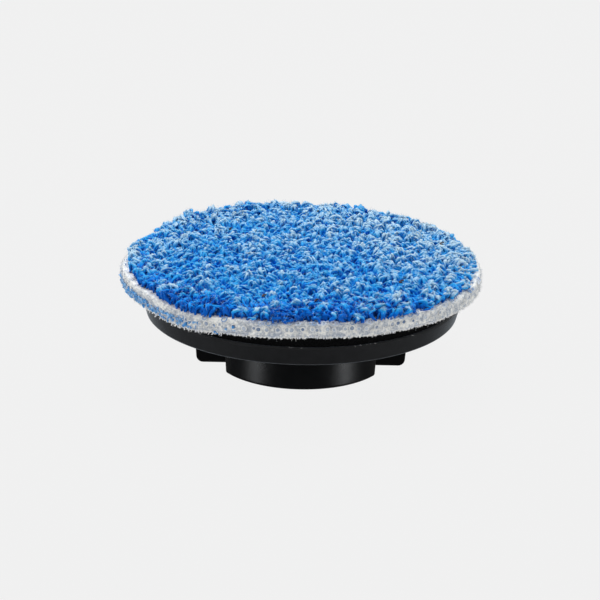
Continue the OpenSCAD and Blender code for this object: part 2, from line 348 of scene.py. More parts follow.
def microfibre(name, root, deep, middle, pale, sheen=0.18):
    """Blue split-fibre yarn: dark at the root and deep between the strands as painted shade, pale and fuzzy
    on top as a painted highlight.
    """
    paint = Paint(name, roughness=0.9, specular=0.1)
    # painted shade and highlight: darker where reach is low and on the yarn's sides, paler high up and where
    # it faces up
    tone = paint.weigh(-0.02, (paint.attribute("reach"), 0.42, 0.0), (paint.facing_up(), 0.27, 0.0),
                       (paint.attribute("shade"), 0.16, 0.0), (paint.noise(0.28 * MM, 4), 0.42, 0.5),
                       (paint.noise(8 * MM, 2), 0.45, 0.5))
    paint.set("Base Color", paint.ramp(tone, [(0.0, root), (0.18, deep), (0.48, middle), (0.8, pale)]))
    paint.set("Normal", paint.bump(paint.noise(0.14 * MM, 3), 0.07 * MM, 0.7))
    paint.shader.inputs["Sheen Weight"].default_value = sheen
    paint.shader.inputs["Sheen Roughness"].default_value = 0.4
    paint.shader.inputs["Sheen Tint"].default_value = (0.5, 0.78, 1, 1)
    return paint.material


def white_cloth(name, light, dark, knit=0.7 * MM, flecked=False, top_highlight=0.0):
    """Fuzzy white knit, darker in its hollows as painted shade, and flecked with blue fibres where the pile
    shed.

    A top_highlight above 0 makes it paler where it faces up, as a painted highlight from the light above.
    """
    paint = Paint(name, roughness=0.9, specular=0.15)
    fluff = paint.noise(knit, 5, 0.7)
    # painted shade: where the fluff is low, and the bump sinks it, the colour goes to the dark stop
    colour = paint.ramp(paint.weigh(0.0, (fluff, 1.0, 0.0), (paint.noise(2.2 * MM, 2), 0.5, 0.5),
                                    (paint.facing_up(), top_highlight, 0.2)),
                        [(0.36, dark), (0.6, light)])
    if flecked:
        spots = paint.weigh(0.0, (paint.noise(1.6 * MM, 3), 4.0, 0.5),
                            (paint.attribute("fleck"), 1.0, 0.85))
        share = paint.add("MapRange", ("Value", spots), **{"From Min": 0.0, "From Max": 0.35})
        colour = paint.mix(share.outputs["Result"], colour, BLUE_FLECK)
    paint.set("Base Color", colour)
    fine = paint.bump(paint.noise(0.12 * MM, 3), 0.08 * MM, 0.8)
    paint.set("Normal", paint.bump(fluff, 0.25 * MM, 0.8, under=fine))
    paint.shader.inputs["Sheen Weight"].default_value = 0.2
    return paint.material


def yarn_ends(name, dark, light):
    """Short ends of yarn, each of its own tone."""
    paint = Paint(name, roughness=0.9, specular=0.1)
    tone = paint.weigh(0.0, (paint.attribute("shade"), 1.0, 0.0), (paint.noise(0.2 * MM, 3), 0.8, 0.5))
    paint.set("Base Color", paint.ramp(tone, [(0.1, dark), (0.9, light)]))
    paint.set("Normal", paint.bump(paint.noise(0.14 * MM, 3), 0.1 * MM, 0.8))
    return paint.material


def black_plastic(name, tone, roughness, texture=0.12 * MM, depth=0.02 * MM, specular=0.5, edge=0.0,
                  haze=0.0):
    """Moulded black plastic with a fine grain, rubbed a little smoother in places.

    edge is the radius that its edges look rounded to, and haze the weight of a cool sheen.
    """
    paint = Paint(name, specular=specular)
    rub = paint.noise(6 * MM, 4)
    paint.set("Roughness", paint.ramp(rub, [(0.3, (roughness * 0.88,) * 3), (0.7, (roughness * 1.12,) * 3)]))
    paint.set("Base Color", paint.ramp(paint.noise(2 * MM, 4), [(0.3, grey(tone * 0.85)),
                                                                (0.7, grey(tone * 1.2))]))
    under = paint.softened(edge) if edge else None
    paint.set("Normal", paint.bump(paint.noise(texture, 2), depth, 0.6, under=under))
    paint.shader.inputs["Sheen Weight"].default_value = haze
    paint.shader.inputs["Sheen Tint"].default_value = (0.8, 0.9, 1, 1)
    paint.shader.inputs["Sheen Roughness"].default_value = 0.3
    return paint.material


def open_foam(name, tone):
    """Foam with open cells, darker at the bottom of each cell as painted shade."""
    paint = Paint(name, roughness=0.95, specular=0.1)
    cells = paint.add("TexVoronoi", ("Vector", paint.place()), Scale=1 / (0.45 * MM)).outputs["Distance"]
    paint.set("Base Color", paint.ramp(cells, [(0.1, grey(tone * 0.3)), (0.6, grey(tone * 1.5))]))
    paint.set("Normal", paint.bump(cells, 0.3 * MM, 0.9))
    return paint.material


def steel(name, tone, roughness):
    """Drawn or turned steel with fine lines."""
    paint = Paint(name, metallic=1.0)
    stretched = paint.add("Mapping", ("Vector", paint.place()), Scale=(300, 300, 9000)).outputs["Vector"]
    lines = paint.add("TexNoise", ("Vector", stretched), Scale=1.0, Detail=3.0).outputs["Fac"]
    paint.set("Base Color", paint.ramp(lines, [(0.3, grey(tone * 0.85)), (0.7, grey(tone * 1.1))]))
    paint.set("Roughness", paint.ramp(lines, [(0.3, (roughness * 0.8,) * 3), (0.7, (roughness * 1.25,) * 3)]))
    paint.set("Normal", paint.bump(lines, 0.01 * MM, 0.4))
    return paint.material


# the pile's colour stops: the darkest is painted shade at the yarn's root, the palest is reached by the
# painted highlight on top
BLUE_ROOT_SHADE = (0.001, 0.12, 0.56)
BLUE_DEEP = (0.002, 0.24, 0.82)
BLUE_MIDDLE = (0.03, 0.38, 0.78)
BLUE_PALE = (0.5, 0.68, 0.81)
BLUE_FUZZ = (0.68, 0.8, 0.92)
# the ground's stops are darker than the loops', as painted shade down between the loops
GROUND_SHADE_DEEP = (0.001, 0.14, 0.56)
GROUND_SHADE_MIDDLE = (0.002, 0.2, 0.7)
BLUE_FLECK = (0.07, 0.3, 0.68)
FLECK_PALE = (0.3, 0.52, 0.8)
WHITE = (0.93, 0.92, 0.88)
# dark stops of the white cloths, for painted shade in the knit's hollows
WHITE_SHADE = (0.36, 0.41, 0.49)
BACKING_SHADE = (0.6, 0.63, 0.68)
FIBRE_SHADE = (0.7, 0.73, 0.79)
FELT_SHADE = (0.5, 0.55, 0.62)
YARN_DARK = (0.16, 0.23, 0.36)
YARN_LIGHT = (0.62, 0.68, 0.76)
MARGIN_DARK = (0.22, 0.36, 0.6)
MARGIN_LIGHT = (0.75, 0.8, 0.88)
LINT_DARK = (0.05, 0.04, 0.04)
LINT_LIGHT = (0.19, 0.14, 0.12)

pile_material = microfibre("microfibre_loops", BLUE_ROOT_SHADE, BLUE_DEEP, BLUE_MIDDLE, BLUE_PALE)
# the wisps take stops a step paler than the loops, as a painted highlight on fibres that catch the light
wisp_material = microfibre("microfibre_wisps", BLUE_DEEP, BLUE_MIDDLE, BLUE_PALE, BLUE_FUZZ)
# the ground under the loops, in colours darkened as painted shade
ground_material = microfibre("microfibre_ground", BLUE_ROOT_SHADE, GROUND_SHADE_DEEP, GROUND_SHADE_MIDDLE, BLUE_DEEP, sheen=0.1)
cloth_material = white_cloth("knit_cloth", WHITE, WHITE_SHADE, flecked=True, top_highlight=0.14)
backing_material = white_cloth("brushed_backing", WHITE, BACKING_SHADE, knit=0.35 * MM, flecked=True)
fibre_material = white_cloth("white_fibre", WHITE, FIBRE_SHADE)
felt_material = yarn_ends("felted_yarn", FELT_SHADE, WHITE)
yarn_end_material = yarn_ends("yarn_ends", YARN_DARK, YARN_LIGHT)
ring_material = yarn_ends("margin_yarn", MARGIN_DARK, MARGIN_LIGHT)
fleck_material = yarn_ends("blue_flecks", BLUE_FLECK, FLECK_PALE)
lint_material = yarn_ends("lint", LINT_DARK, LINT_LIGHT)
# black nylon, toned extra dark, partly as painted shade for where it lies under the pad
hook_material = black_plastic("hook_nylon", tone=0.003, roughness=0.55, specular=0.15)
spring_material = steel("spring_steel", tone=0.5, roughness=0.25)


# ---- Pile ------------------------------------------------------------------

LOOP_PITCH = 1.15 * MM
LOW_PITCH = 1.2 * MM
TUFT_PITCH = 2.4 * MM           # about four loops each, gathered by their twist
GATHER = 0.7                    # how far a loop leans to the middle of its tuft, as a share of the way
ROW = 0.866                     # between the rows of a hexagonal grid, as a share of its pitch
YARN_R = 0.31 * MM
LAY = math.radians(35)          # the way that most of the loops run
WALE = math.radians(65)         # the way that the rows of the knit run


def pile_edge(around):
    """How far out the pile goes: less at the left and the back right, and more at the front."""
    return (PILE_R * (1 + 0.006 * np.sin(5 * around) + 0.005 * np.sin(11 * around + 1))
            + 0.8 * MM * lobe(around, FRONT + 0.2, 0.8)
            - 1.1 * MM * lobe(around, LEFT - 0.35, 0.32)
            - 0.7 * MM * lobe(around, LEFT + 0.25, 0.35)
            - 0.6 * MM * lobe(around, RIGHT + 0.35, 0.3)
            + 0.5 * MM * lobe(around, FRONT + 0.35, 0.3))


def scatter(pitch):
    """Points of a jittered hexagonal grid inside the pile's edge, as knitted loops lie."""
    rows = int((PILE_R + pitch) / (pitch * ROW)) + 2
    row, column = np.mgrid[-rows:rows + 1, -rows:rows + 1].reshape(2, -1)
    found = np.stack([(column + 0.5 * (row % 2)) * pitch, row * pitch * ROW], axis=1)
    found += rng.normal(0, 0.2 * pitch, found.shape)
    cos, sin = math.cos(WALE), math.sin(WALE)
    found = found @ np.array([[cos, sin], [-sin, cos]])
    radius, around = radius_and_azimuth(found)
    return found[radius < pile_edge(around)]


def nearest(points, targets):
    """Which target is nearest to each point."""
    tree = kdtree.KDTree(len(targets))
    for number, (x, y) in enumerate(targets):
        tree.insert((x, y, 0), number)
    tree.balance()
    return np.array([tree.find((x, y, 0))[1] for x, y in points])


def crown(points):
    """How far the ground stands up here: it rises to the middle, and falls away at the very edge."""
    share = np.clip(radius_and_azimuth(points)[0] / PILE_R, 0, 1)
    return 0.4 * MM * (1 - share ** 2) - 0.35 * MM * np.clip((share - 0.94) / 0.06, 0, 1) ** 2


def rim_zones(feet):
    """How far each loop is into the rim, into its front and into its right, from 0 to 1."""
    radius, around = radius_and_azimuth(feet)
    rim = np.clip((radius / pile_edge(around) - 0.88) / 0.12, 0, 1)
    return rim, rim ** 3 * lobe(around, FRONT, 0.9), rim ** 2 * lobe(around, RIGHT - 0.15, 0.6)


def loop_leans(feet, spots, tuft, tufts, zones):
    """Where the head of each loop leans: with its patch, to the middle of its tuft, and out at the rim."""
    rim, front, right = zones
    count = len(feet)
    patch = np.stack([grain(spots, 7.5 * MM, 21.0), grain(spots, 7.5 * MM, 37.0)], axis=1)
    lean = patch + rng.normal(0, 0.45, (len(tufts), 2))[tuft] + rng.normal(0, 0.2, (count, 2))
    outward = rim ** 2 * rng.uniform(0.0, 0.7, count) + (front + 0.6 * right) * rng.uniform(0.4, 1.7, count)
    away = feet / radius_and_azimuth(feet)[0][:, None]
    lean = (lean * (1 - 0.5 * rim)[:, None] + away * outward[:, None]) * MM
    return lean + GATHER * (tufts[tuft] - feet)


def loop_tones(feet, tuft, tufts, zones, height, rise):
    """How far up the pile each point of a loop counts, and the shade of each loop: some tufts are paler.

    The pile is paler at the back and the right than near the camera, and blotchy round its rim. At the back
    this is painted light from behind, partly also the lay of the loops; near the camera it is painted shade
    between the tall tufts.
    """
    rim, front, right = zones
    east, north = feet.T / PILE_R
    near = np.clip((-north - 0.5) / 0.5, 0, 1)
    # painted shade and highlight: a steeper reach darkens the legs of the loops, most at the rim and near the
    # camera, and the heads near the camera get a painted highlight
    steepness = 1.6 + 1.4 * rim + 0.8 * near - 0.8 * right
    reach = (0.5 * (height[:, None] * rise) / PILE_H + 0.45 * rise) ** steepness[:, None]
    reach *= 1 + (0.5 * near + 0.8 * front)[:, None]
    paler = rng.uniform(0, 1, len(tufts))[tuft]
    shade = 1.3 * paler - 0.4 + 0.5 * rng.uniform(0, 1, len(feet)) + (3.0 * rim + 1.5 * near) * (paler - 0.5)
    # the north term is painted backlight, partly also the lay of the loops; near and front darken as painted
    # shade between the tall front tufts
    shade += 0.8 * north + 0.4 * east + 0.6 * east ** 2 - 0.3 * rim - 0.9 * near - 0.7 * front + 1.8 * right
    return reach, shade


def make_loops(points=9):
    """The pile's yarn loops: arches that stand, lean and curl, in patches that go the same way."""
    feet = scatter(LOOP_PITCH)
    tufts = scatter(TUFT_PITCH)
    tuft = nearest(feet, tufts)
    count = len(feet)
    arch = np.linspace(0, math.pi, points)
    spots = np.column_stack([feet, np.zeros(count)])
    zones = rim_zones(feet)
    rim, front, right = zones
    swell = 1 + 0.4 * (1 - 0.6 * rim) * grain(spots, 4 * MM, 5.0)
    width = rng.uniform(0.6, 1.7, count) * MM
    shared = rng.uniform(0.75, 1.1, len(tufts))[tuft]
    height = PILE_H * rng.uniform(0.8, 1.0, count) * shared * swell * (1 - 0.12 * rim ** 2 - 0.4 * right)
    turn = LAY + 1.6 * grain(spots, 9 * MM, 8.0) + rng.normal(0, 0.75, count)
    curl = rng.normal(0, 0.42, (count, 2)) * (1 + 0.8 * rim)[:, None] * MM
    lean = loop_leans(feet, spots, tuft, tufts, zones)
    rise = np.sin(arch) ** 0.75
    flat = (width[:, None] / 2) * -np.cos(arch) * (1 + 0.3 * np.sin(arch))
    side = curl[:, :1] * np.sin(2 * arch) + 0.6 * curl[:, 1:] * np.sin(3 * arch)
    lines = np.empty((count, points, 3))
    lines[:, :, 0] = feet[:, :1] + flat * np.cos(turn)[:, None] - side * np.sin(turn)[:, None]
    lines[:, :, 1] = feet[:, 1:] + flat * np.sin(turn)[:, None] + side * np.cos(turn)[:, None]
    lines[:, :, :2] += lean[:, None, :] * (rise[None, :, None] ** 1.5)
    lines[:, :, 2] = FOOT_Z + crown(feet)[:, None] + height[:, None] * rise
    lines[:, :, 2] -= (front * rng.uniform(0.2, 1.8, count) * MM)[:, None] * rise ** 2
    lines += rng.normal(0, 0.06 * MM, lines.shape)
    plane = np.stack([-np.sin(turn), np.cos(turn), np.zeros(count)], axis=1)
    thick = rng.uniform(0.8, 1.3, count) * (1 + 0.15 * rim)
    uneven = 1 + 0.22 * rng.normal(0, 1, (count, points))
    radii = np.clip(YARN_R * thick[:, None] * (0.85 + 0.3 * rise) * uneven, 0.15 * MM, 0.55 * MM)
    reach, shade = loop_tones(feet, tuft, tufts, zones, height, rise)
    return lines + PILE_SHIFT, radii, plane, reach, shade


def make_low_loops(points=7):
    """Lower loops that stand every way and fill the gaps between the tufts."""
    feet = scatter(LOW_PITCH)
    radius, around = radius_and_azimuth(feet)
    feet = feet[radius < pile_edge(around) - 0.3 * MM]
    radius, around = radius_and_azimuth(feet)
    front = np.clip((radius / PILE_R - 0.8) / 0.2, 0, 1) * lobe(around, FRONT, 0.9)
    count = len(feet)
    arch = np.linspace(0, math.pi, points)
    turn = rng.uniform(0, TURN, count)
    way = np.stack([np.cos(turn), np.sin(turn)], axis=1)
    beside = np.stack([-np.sin(turn), np.cos(turn)], axis=1)
    rise = np.sin(arch) ** 0.7
    flat = rng.uniform(0.6, 1.1, count)[:, None] * -np.cos(arch) * (1 + 0.3 * np.sin(arch)) * MM
    side = rng.normal(0, 0.3, count)[:, None] * np.sin(2 * arch) * MM
    lean = rng.normal(0, 0.35, (count, 2)) * MM
    height = PILE_H * rng.uniform(0.45, 0.64, count)
    lines = np.empty((count, points, 3))
    lines[:, :, :2] = (feet[:, None] + flat[:, :, None] * way[:, None] + side[:, :, None] * beside[:, None]
                       + lean[:, None] * rise[None, :, None])
    lines[:, :, 2] = FOOT_Z + crown(feet)[:, None] + height[:, None] * rise
    lines += rng.normal(0, 0.06 * MM, lines.shape)
    thick = YARN_R * rng.uniform(0.85, 1.3, (count, 1))
    radii = np.clip(thick * (1 + 0.18 * rng.normal(0, 1, (count, points))), 0.15 * MM, 0.5 * MM)
    # painted shade: reach darkens these low loops by height, and near the camera their shade drops further
    # for the darker gaps there
    reach = 0.5 * rng.uniform(0.7, 1.3, count)[:, None] * rise
    plane = np.column_stack([beside, np.zeros(count)])
    shade = rng.uniform(-0.2, 0.8, count) - 2.4 * front
    return lines + PILE_SHIFT, radii, plane, reach, shade


def add_loops(name, parts, strands, sides, flatness, spin=0.0):
    """Loops as a few pieces of the pile."""
    lines, radii, plane, reach, shade = strands
    spin = np.full(len(lines), spin)
    for number, part in enumerate(np.array_split(np.arange(len(lines)), parts)):
        piece = add_strands(f"{name}_{number + 1}", drape(lines[part]), radii[part], sides, plane[part],
                            shade[part], reach[part], flatness, spin[part])
        finish_piece(piece, pile_material, "pad", "microfibre_blue")


tall_loops = make_loops()
loops, loop_reach = tall_loops[0], tall_loops[3]
add_loops("pile_loops", 3, tall_loops, sides=6, flatness=0.72, spin=rng.uniform(-1.2, 1.2, len(loops)))
add_loops("pile_low_loops", 2, make_low_loops(), sides=5, flatness=0.8)


def make_ground():
    """The dense blue base that the loops stand in."""
    top = PILE_Z + 1.3 * MM
    edge = PILE_R - 0.6 * MM
    inner = np.linspace(0, edge - 0.5 * MM, 60)
    outline = ([(x, PILE_Z) for x in inner] + [(edge, FOOT_Z), (edge - 0.5 * MM, FOOT_Z + 0.5 * MM)]
               + [(x, top) for x in inner[:-1][::-1]])

    def relief(points):
        upper = points[:, 2] > PILE_Z + 0.5 * MM
        lift = grain(points, 1.1 * MM, 3.0) * 0.7 * MM + crown(points)
        points[:, 2] += np.where(upper, lift, 0)
        return drape(points + PILE_SHIFT)

    return add_turned("pile_ground", outline, 360, relief)


ground = make_ground()
add_attribute(ground, "reach", rng.uniform(0.0, 0.4, len(ground.data.vertices)))
add_attribute(ground, "shade", rng.uniform(0.0, 0.5, len(ground.data.vertices)))
finish_piece(ground, ground_material, "pad", "microfibre_blue", "pile_face")


def fibres(roots, directions, lengths, thickness, bend=0.3, points=3):
    """Centrelines, radii and cross vectors of fine tapered fibres that bend a little."""
    along = np.linspace(0, 1, points)
    sideways = unit(np.cross(directions, rng.normal(0, 1, (len(roots), 3))))
    lines = (roots[:, None, :] + directions[:, None, :] * (lengths[:, None] * along)[:, :, None]
             + sideways[:, None, :] * (bend * lengths[:, None] * along ** 2)[:, :, None])
    return lines, thickness[:, None] * (1 - 0.75 * along), np.cross(directions, sideways)


def add_wisps(name, count=13500):
    """Loose fibres that stand off the loops and blur their outline, half of them round the rim."""
    from_axis = radius_and_azimuth(loops[:, loops.shape[1] // 2])[0]
    chance = 1 + 3.5 * (from_axis / PILE_R > 0.9)
    pick = rng.choice(len(loops), count, p=chance / chance.sum())
    place = rng.integers(2, loops.shape[1] - 2, count)
    directions = unit(rng.normal(0, 1, (count, 3)) + np.array([0, 0, 0.6]))
    roots = loops[pick, place] + directions * 0.15 * MM
    lines, radii, plane = fibres(roots, directions, rng.uniform(0.3, 1.0, count) * MM,
                                 rng.uniform(0.014, 0.032, count) * MM, 0.5)
    # each wisp takes the painted shade or highlight of the loop point it grows from
    reach = np.repeat(loop_reach[pick, place][:, None], lines.shape[1], axis=1)
    return add_strands(name, drape(lines), radii, 3, plane, rng.uniform(0, 1, count), reach)


for name in ("pile_wisps_1", "pile_wisps_2"):
    finish_piece(add_wisps(name), wisp_material, "pad", "microfibre_blue")


def add_lint(count=9):
    """A few curled specks of dark lint caught in the pile."""
    around = rng.uniform(0, TURN, count)
    radius = PILE_R * np.sqrt(rng.uniform(0.02, 0.8, count))
    angle = np.linspace(0, 1.6 * math.pi, 8)
    size = rng.uniform(0.25, 0.45, count)[:, None] * MM
    middle = polar(radius, around, PILE_Z + PILE_H * 0.98) + PILE_SHIFT
    lines = middle[:, None, :] + np.stack([size * np.cos(angle), size * 0.7 * np.sin(angle),
                                           size * 0.5 * np.sin(angle + 1)], axis=-1)
    radii = np.full(lines.shape[:2], 0.16 * MM) * rng.uniform(0.7, 1.3, lines.shape[:2])
    plane = np.tile([0.0, 0.0, 1.0], (count, 1))
    return add_strands("lint_specks", drape(lines), radii, 6, plane, rng.uniform(0, 1, count))


finish_piece(add_lint(), lint_material, "pad", "microfibre_blue")


# ---- White edge of the pad -------------------------------------------------

def cloth_relief(depth, seed):
    """Draping with the uneven surface of a cut knit."""
    def relief(points):
        radius = radius_and_azimuth(points)[0]
        near = np.clip((radius - HOOK_R) / (2 * MM), 0, 1)
        swell = grain(points, 1.6 * MM, seed) * depth + grain(points, 0.5 * MM, seed + 5) * depth * 0.8
        out = points[:, :2] / np.maximum(radius, MM)[:, None]
        points[:, :2] += out * (near * swell)[:, None]
        points[:, 2] += near * grain(points, 0.8 * MM, seed + 9) * depth * 0.9
        return drape(points)
    return relief


def felted_edge():
    """The outline of the middle layer, whose cut edge has swelled and felted over both cloths.

    Its points are millimetres out from the pad's radius and up from the pad's underside.
    """
    swelled = [(-2.2, 1.0), (-1.2, 0.3), (-0.4, 0.12), (-0.05, 0.4), (0.06, 0.8), (-0.02, 1.2), (-0.1, 1.6),
               (-0.08, 2.0), (0.0, 2.4), (-0.03, 2.8), (-0.2, 3.1), (-0.55, 3.25), (-1.2, 3.1), (-2.2, 2.4)]
    bend = [(PAD_R + out * MM, loop_low.z + up * MM) for out, up in swelled]
    flat = np.linspace(0, bend[0][0], 16)[:-1]
    return [(x, bend[0][1]) for x in flat] + bend + [(x, bend[-1][1]) for x in flat[::-1]]


def add_cloth(name, node, outline, seed, slot, material):
    """One layer of the pad, and how flecked each point is: most low on the cut edge at the front left."""
    piece = add_turned(name, outline, 480, cloth_relief(0.2 * MM, seed))
    finish_piece(piece, material, "pad", slot, node)
    points = np.array([v.co for v in piece.data.vertices]) - PAD_SHIFT
    radius, around = radius_and_azimuth(points)
    outer = np.clip((radius - PAD_R + 0.5 * MM) / (0.4 * MM), 0, 1)
    lower = np.clip((core_high.z + 0.2 * MM - points[:, 2]) / (0.6 * MM), 0, 1)
    places = lobe(around, LEFT + 0.5, 0.5) + 0.1 * lobe(around, FRONT + 0.6, 0.6)
    add_attribute(piece, "fleck", outer * lower * places)
    return piece


CLOTH_R = PAD_R - 0.2 * MM              # the felt stands out past both cloths
FACE_TOP = cloth_high.z + 0.2 * MM
face_knit = add_cloth("face_knit", "face_cloth", rounded_disc(CLOTH_R, cloth_low.z, FACE_TOP), 1.0,
                      "cloth_white", cloth_material)
core_layer = add_cloth("core_layer", "pad_core", felted_edge(), 2.0, "pad_foam", cloth_material)
back_knit = add_cloth("back_knit", "loop_backing", rounded_disc(CLOTH_R, loop_low.z, loop_high.z), 3.0,
                      "loop_white", backing_material)

STITCH_PITCH = 1.8 * MM
STITCH_Z = core_high.z - 0.35 * MM
RING_POINTS = 11


def ring_lines(middle, side, up, size):
    """Closed rings: each is round middle, in the plane of side and up, with a radius of size."""
    angle = np.linspace(0, TURN, RING_POINTS)
    size = size[:, None, None]
    return (middle[:, None, :] + side[:, None, :] * size * np.cos(angle)[None, :, None]
            + up[:, None, :] * size * np.sin(angle)[None, :, None])


def edge_frame(around):
    """Unit vectors out, along the edge and up, at each azimuth."""
    nothing = np.zeros_like(around)
    return (np.stack([np.cos(around), np.sin(around), nothing], axis=1),
            np.stack([-np.sin(around), np.cos(around), nothing], axis=1),
            np.stack([nothing, nothing, nothing + 1], axis=1))


def add_edge_stitches():
    """A row of small rings of yarn round the cut edge, and the grey-blue yarn end in the middle of each."""
    count = int(TURN * PAD_R / STITCH_PITCH)
    around = TURN * (np.arange(count) + rng.uniform(-0.28, 0.28, count)) / count
    around = around[rng.random(count) < 0.1 + 0.95 * np.sin(around) ** 2]   # felted over at the sides
    count = len(around)
    out, side, up = edge_frame(around)
    size = rng.uniform(0.42, 0.62, count) * MM
    level = STITCH_Z + rng.normal(0, 0.12, count) * MM
    middle = polar(PAD_R + 0.02 * MM, around, level)
    radii = rng.uniform(0.09, 0.16, (count, RING_POINTS)) * MM
    rings = add_strands("edge_stitches", drape(ring_lines(middle, side, up, size)), radii, 6, out)
    finish_piece(rings, fibre_material, "pad", "cloth_white")
    along = np.linspace(0, 1, 3)
    ends = middle[:, None, :] + out[:, None, :] * (along * 0.35 * MM - 0.25 * MM)[None, :, None]
    thick = (size * rng.uniform(0.65, 1.05, count))[:, None] * np.array([1, 1, 0.6])
    finish_piece(add_strands("edge_yarn_ends", drape(ends), thick, 7, side, rng.uniform(0, 1, count) ** 1.3),
                 yarn_end_material, "pad", "cloth_white")


def add_margin_rings(count=150):
    """Small loops of the ground yarn that stand up along the margin, most of them at the front right."""
    around = np.concatenate([rng.uniform(FRONT - 0.3, RIGHT - 0.2, count * 2 // 3),
                             rng.uniform(0, TURN, count // 3)])
    out, side, up = edge_frame(around)
    size = rng.uniform(0.32, 0.6, len(around)) * MM
    tilt = rng.uniform(0.2, 1.2, len(around))[:, None]
    middle = polar(PAD_R - rng.uniform(-0.1, 1.2, len(around)) * MM, around, cloth_high.z + 0.1 * MM)
    slope = unit(up * np.cos(tilt) - out * np.sin(tilt))
    radii = rng.uniform(0.08, 0.13, (len(around), RING_POINTS)) * MM
    piece = add_strands("margin_rings", drape(ring_lines(middle, side, slope, size)), radii, 6,
                        np.cross(side, slope), rng.uniform(0, 1, len(around)))
    finish_piece(piece, ring_material, "pad", "cloth_white")


def add_flecks(count=190):
    """Bits of blue yarn caught low in the cut edge at the front left."""
    around = LEFT + 0.45 + rng.normal(0, 0.34, count)
    level = loop_low.z + rng.uniform(0.3, 2.0, count) * MM
    roots = polar(PAD_R + 0.05 * MM, around, level)
    out, side = edge_frame(around)[:2]
    sideways = side * rng.choice([-1, 1], count)[:, None]
    directions = unit(sideways + rng.normal(0, 0.3, (count, 3)) - 0.15 * out)
    lines, radii, plane = fibres(roots, directions, rng.uniform(0.4, 1.1, count) * MM,
                                 rng.uniform(0.22, 0.46, count) * MM, 0.4, points=4)
    piece = add_strands("blue_flecks", drape(lines), radii, 6, plane, rng.uniform(0, 1, count))
    finish_piece(piece, fleck_material, "pad", "microfibre_blue")


def add_fringe():
    """The frayed lower edge: a row of short tufts, with some longer threads at the front left."""
    short = 620
    around = np.concatenate([TURN * (np.arange(short) + rng.uniform(-0.4, 0.4, short)) / short,
                             LEFT + 0.95 + rng.normal(0, 0.14, 110)])
    count = len(around)
    long = np.arange(count) >= short
    out, side, up = edge_frame(around)
    roots = polar(PAD_R - rng.uniform(0.1, 0.35, count) * MM, around, loop_low.z + 0.5 * MM)
    directions = unit(out * rng.uniform(0.1, 0.6, count)[:, None] - up
                      + side * (rng.normal(0, 1, count) * np.where(long, 0.7, 0.35))[:, None])
    lengths = np.where(long, rng.uniform(0.45, 0.9, count), rng.uniform(0.35, 0.55, count)) * MM
    thickness = np.where(long, rng.uniform(0.1, 0.22, count), rng.uniform(0.2, 0.34, count)) * MM
    lines, radii, plane = fibres(roots, directions, lengths, thickness, 0.6, points=4)
    radii = np.maximum(radii, 0.6 * thickness[:, None])
    piece = add_strands("back_fringe", drape(lines), radii, 5, plane)
    finish_piece(piece, fibre_material, "pad", "loop_white")


def add_edge_fuzz(count=6000):
    """Fine fibres that stand off the white edge and its margin."""
    around = rng.uniform(0, TURN, count)
    out, side, up = edge_frame(around)
    level = rng.uniform(loop_low.z, cloth_high.z + 0.3 * MM, count)
    on_margin = level > cloth_high.z - 0.3 * MM
    inset = np.where(on_margin, rng.uniform(0.2, 2.6, count), 0.15) * MM
    roots = polar(PAD_R - inset, around, np.where(on_margin, cloth_high.z + 0.15 * MM, level))
    away = np.where(on_margin[:, None], up, out)
    directions = unit(away + rng.normal(0, 0.6, (count, 3)))
    lines, radii, plane = fibres(roots, directions, rng.uniform(0.25, 0.75, count) * MM,
                                 rng.uniform(0.018, 0.04, count) * MM, 0.6)
    piece = add_strands("edge_fuzz", drape(lines), radii, 3, plane)
    finish_piece(piece, fibre_material, "pad", "cloth_white")


def add_felt(count=5000):
    """Short thick fibres matted into the cut edge, which hide where the layers meet."""
    around = rng.uniform(0, TURN, count)
    out = edge_frame(around)[0]
    level = rng.uniform(loop_low.z + 0.15 * MM, cloth_high.z + 0.1 * MM, count)
    roots = polar(PAD_R - rng.uniform(0, 0.2, count) * MM, around, level)
    directions = unit(rng.normal(0, 1, (count, 3)) - 0.2 * out)
    lines, radii, plane = fibres(roots, directions, rng.uniform(0.3, 0.8, count) * MM,
                                 rng.uniform(0.03, 0.07, count) * MM, 0.7)
    piece = add_strands("edge_felt", drape(lines), radii, 4, plane, rng.uniform(0, 1, count))
    finish_piece(piece, felt_material, "pad", "cloth_white")


add_felt()
add_edge_stitches()
add_margin_rings()
add_flecks()
add_fringe()
add_edge_fuzz()


# ---- Hook disc, and dust on the plate --------------------------------------

HOOK_PITCH = 0.9 * MM
HOOK_H = 0.62 * MM


def add_hook_disc():
    """The hook sheet's base, and the rows of small bent hooks that grip the pad."""
    base_top = hook_high.z - HOOK_H
    sheet = add_turned("hook_sheet", rounded_disc(HOOK_R, hook_low.z, base_top, 6), 240)
    finish_piece(sheet, hook_material, "plate", "hook_black", "hook_disc")
    steps = np.arange(-HOOK_R, HOOK_R, HOOK_PITCH)
    feet = np.array([(x, y) for x in steps for y in steps])
    feet += rng.normal(0, 0.04 * MM, feet.shape)
    feet = feet[radius_and_azimuth(feet)[0] < HOOK_R - 0.5 * MM]
    way = np.where(np.round(feet[:, 1] / HOOK_PITCH) % 2 == 0, 1, -1)
    bent = np.array([0, 0, 0.04, 0.16, 0.26]) * MM
    level = np.array([-0.1, 0.55, 0.88, 0.96, 0.72]) * HOOK_H
    lines = np.empty((len(feet), len(bent), 3))
    lines[:, :, 0] = feet[:, :1] + way[:, None] * bent
    lines[:, :, 1] = feet[:, 1:]
    lines[:, :, 2] = base_top + level
    plane = np.tile([0.0, 1.0, 0.0], (len(feet), 1))
    radii = np.tile(np.array([0.11, 0.09, 0.08, 0.075, 0.06]) * MM, (len(feet), 1))
    finish_piece(add_strands("hook_rows", lines, radii, 4, plane), hook_material, "plate", "hook_black")


